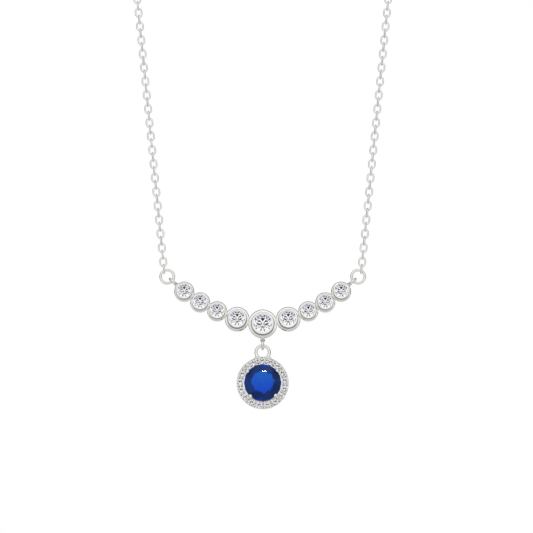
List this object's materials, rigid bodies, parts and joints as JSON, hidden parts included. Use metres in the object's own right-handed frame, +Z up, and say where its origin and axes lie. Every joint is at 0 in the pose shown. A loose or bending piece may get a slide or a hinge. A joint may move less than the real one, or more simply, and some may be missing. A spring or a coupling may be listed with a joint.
{
  "type": "pendant necklace",
  "caption": "Silver chain necklace with a curved bar of bezel-set clear stones and a round blue stone in a clear halo hanging below it, closed by a lobster clasp.",
  "frame": {"origin": "the nape, at the middle of the closed loop, on the side of the clasp that lies against the neck", "axes": "+X to the viewer's right, -Y the front with the stones, +Z up; the necklace hangs as it is worn"},
  "size_m": [0.0578, 0.0459, 0.1577],
  "materials": {
    "polished_silver": "mirror polish, rhodium plated",
    "spring_steel": "drawn wire",
    "clear_stone": "polished facets",
    "blue_stone": "polished facets"
  },
  "bodies": {
    "neck_loop": {"neck_chain_left": "polished_silver", "neck_chain_right": "polished_silver", "clasp_body": "polished_silver", "clasp_pin": "polished_silver", "clasp_spring": "spring_steel", "clasp_ring": "polished_silver", "end_ring": "polished_silver"},
    "trigger": {"clasp_trigger": "polished_silver"},
    "upper_chains": {"chain_upper_left": "polished_silver", "chain_upper_right": "polished_silver"},
    "lower_chains": {"chain_lower_left": "polished_silver", "chain_lower_right": "polished_silver"},
    "jump_rings": {"jump_ring_left": "polished_silver", "jump_ring_right": "polished_silver"},
    "bar": {"bezel_bar": "polished_silver", "bar_stone_centre": "clear_stone", "bar_stone_left_1": "clear_stone", "bar_stone_left_2": "clear_stone", "bar_stone_left_3": "clear_stone", "bar_stone_left_4": "clear_stone", "bar_stone_right_1": "clear_stone", "bar_stone_right_2": "clear_stone", "bar_stone_right_3": "clear_stone", "bar_stone_right_4": "clear_stone"},
    "pendant": {"pendant_frame": "polished_silver", "blue_stone": "blue_stone", "halo_stone_01": "clear_stone", "halo_stone_02": "clear_stone", "halo_stone_03": "clear_stone", "halo_stone_04": "clear_stone", "halo_stone_05": "clear_stone", "halo_stone_06": "clear_stone", "halo_stone_07": "clear_stone", "halo_stone_08": "clear_stone", "halo_stone_09": "clear_stone", "halo_stone_10": "clear_stone", "halo_stone_11": "clear_stone", "halo_stone_12": "clear_stone", "halo_stone_13": "clear_stone", "halo_stone_14": "clear_stone", "halo_stone_15": "clear_stone", "halo_stone_16": "clear_stone", "halo_stone_17": "clear_stone"}
  },
  "joints": [
    {"name": "trigger_pivot", "type": "hinge", "parent": "neck_loop", "child": "trigger", "pos_m": [-0.00027, 0.00075, -0.00135], "axis": [0, -1, 0], "range_deg": [0, 18], "stiffness_Nm_per_rad": 0.0001, "springref_deg": -17.19},
    {"name": "front_swing", "type": "hinge", "parent": "neck_loop", "child": "upper_chains", "pos_m": [0, -0.04125, -0.087], "axis": [1, 0, 0], "range_deg": [-75, 75]},
    {"name": "mid_swing", "type": "hinge", "parent": "upper_chains", "child": "lower_chains", "pos_m": [0, -0.04125, -0.11004], "axis": [1, 0, 0], "range_deg": [-75, 75]},
    {"name": "ring_swing", "type": "hinge", "parent": "lower_chains", "child": "jump_rings", "pos_m": [0, -0.04125, -0.133], "axis": [1, 0, 0], "range_deg": [-45, 45]},
    {"name": "bar_swing", "type": "hinge", "parent": "jump_rings", "child": "bar", "pos_m": [0, -0.04125, -0.13466], "axis": [1, 0, 0], "range_deg": [-45, 45]},
    {"name": "pendant_swing", "type": "hinge", "parent": "bar", "child": "pendant", "pos_m": [0, -0.04125, -0.14578], "axis": [0, 1, 0], "range_deg": [-60, 60]}
  ]
}
